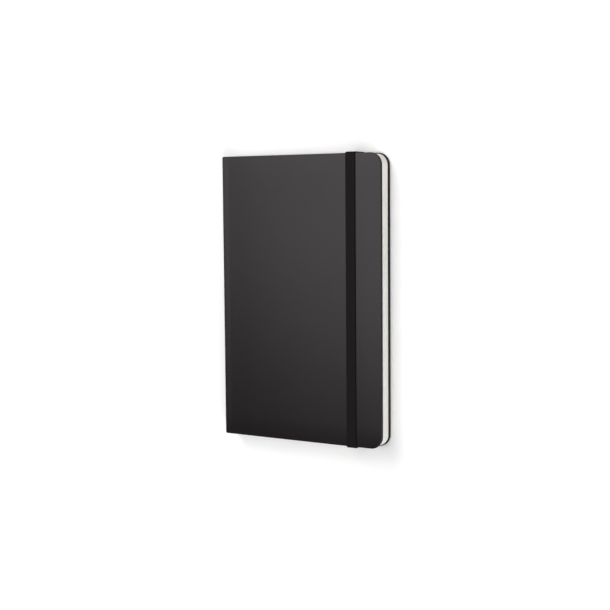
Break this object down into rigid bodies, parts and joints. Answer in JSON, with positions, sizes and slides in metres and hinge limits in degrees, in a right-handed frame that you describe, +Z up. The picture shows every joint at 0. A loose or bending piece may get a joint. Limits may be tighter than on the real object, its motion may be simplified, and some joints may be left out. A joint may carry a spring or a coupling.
{
  "type": "pocket notebook",
  "caption": "Hardcover pocket notebook with round fore-edge corners, sewn ivory leaves and a vertical elastic closure strap; it opens flat at its middle.",
  "frame": {"origin": "middle of the back cover's outside face, the surface that the closed notebook lies on", "axes": "+X from the spine to the fore edge, +Y from tail to head, +Z up through the thickness to the front cover"},
  "size_m": [0.09, 0.1412, 0.0099],
  "materials": {
    "cover_black": "fine-grained black book covering, satin",
    "grey_board": "grey binder's board",
    "ivory_paper": "smooth ivory writing paper",
    "pocket_paper": "stiff ivory card",
    "linen": "black binding cloth",
    "thread": "waxed binding thread",
    "elastic_black": "matt black woven elastic"
  },
  "bodies": {
    "back_cover": {"back_wrap": "cover_black", "back_board": "grey_board", "back_pastedown": "ivory_paper", "pocket_panel": "pocket_paper", "pocket_gusset_head": "linen", "pocket_gusset_tail": "linen", "strap_end_head": "elastic_black", "strap_end_tail": "elastic_black", "flyleaf_rear": "ivory_paper", "signature_8": "ivory_paper"},
    "spine": {"spine_wrap": "cover_black", "spine_card": "grey_board", "spine_lining": "linen", "sewing_thread": "thread"},
    "front_cover": {"front_wrap": "cover_black", "front_board": "grey_board", "front_pastedown": "ivory_paper"},
    "flyleaf": {"flyleaf_front": "ivory_paper"},
    "leaves_1": {"signature_1": "ivory_paper"},
    "leaves_2": {"signature_2": "ivory_paper"},
    "leaves_3": {"signature_3": "ivory_paper"},
    "leaves_4": {"signature_4": "ivory_paper"},
    "leaves_5": {"signature_5": "ivory_paper"},
    "leaves_6": {"signature_6": "ivory_paper"},
    "leaves_7": {"signature_7": "ivory_paper"},
    "strap": {"elastic_strap": "elastic_black"}
  },
  "joints": [
    {"name": "back_joint", "type": "hinge", "parent": "back_cover", "child": "spine", "pos_m": [-0.045, 0, 0.0013], "axis": [0, -1, 0], "range_deg": [0, 90]},
    {"name": "front_joint", "type": "hinge", "parent": "spine", "child": "front_cover", "pos_m": [-0.045, 0, 0.008], "axis": [0, -1, 0], "range_deg": [0, 90]},
    {"name": "flyleaf_turn", "type": "hinge", "parent": "spine", "child": "flyleaf", "pos_m": [-0.045, 0, 0.008], "axis": [0, -1, 0], "range_deg": [0, 88.5]},
    {"name": "leaves_1_turn", "type": "hinge", "parent": "spine", "child": "leaves_1", "pos_m": [-0.045, 0, 0.008], "axis": [0, -1, 0], "range_deg": [0, 86.5]},
    {"name": "leaves_2_turn", "type": "hinge", "parent": "spine", "child": "leaves_2", "pos_m": [-0.045, 0, 0.008], "axis": [0, -1, 0], "range_deg": [0, 84.5]},
    {"name": "leaves_3_turn", "type": "hinge", "parent": "spine", "child": "leaves_3", "pos_m": [-0.045, 0, 0.008], "axis": [0, -1, 0], "range_deg": [0, 82]},
    {"name": "leaves_4_turn", "type": "hinge", "parent": "spine", "child": "leaves_4", "pos_m": [-0.045, 0, 0.008], "axis": [0, -1, 0], "range_deg": [0, 79]},
    {"name": "leaves_5_turn", "type": "hinge", "parent": "spine", "child": "leaves_5", "pos_m": [-0.045, 0, 0.0013], "axis": [0, -1, 0], "range_deg": [-87, 0]},
    {"name": "leaves_6_turn", "type": "hinge", "parent": "spine", "child": "leaves_6", "pos_m": [-0.045, 0, 0.0013], "axis": [0, -1, 0], "range_deg": [-88.2, 0]},
    {"name": "leaves_7_turn", "type": "hinge", "parent": "spine", "child": "leaves_7", "pos_m": [-0.045, 0, 0.0013], "axis": [0, -1, 0], "range_deg": [-89.2, 0]},
    {"name": "strap_slip", "type": "slide", "parent": "back_cover", "child": "strap", "axis": [1, 0, 0], "range_m": [0, 0.024], "deforming": ["elastic_strap"]}
  ],
  "couplings": [
    {"joint": "front_joint", "follows": "back_joint", "ratio": 1},
    {"joint": "flyleaf_turn", "follows": "back_joint", "ratio": 0.98333},
    {"joint": "leaves_1_turn", "follows": "back_joint", "ratio": 0.96111},
    {"joint": "leaves_2_turn", "follows": "back_joint", "ratio": 0.93889},
    {"joint": "leaves_3_turn", "follows": "back_joint", "ratio": 0.91111},
    {"joint": "leaves_4_turn", "follows": "back_joint", "ratio": 0.87778},
    {"joint": "leaves_5_turn", "follows": "back_joint", "ratio": -0.96667},
    {"joint": "leaves_6_turn", "follows": "back_joint", "ratio": -0.98},
    {"joint": "leaves_7_turn", "follows": "back_joint", "ratio": -0.99111}
  ]
}
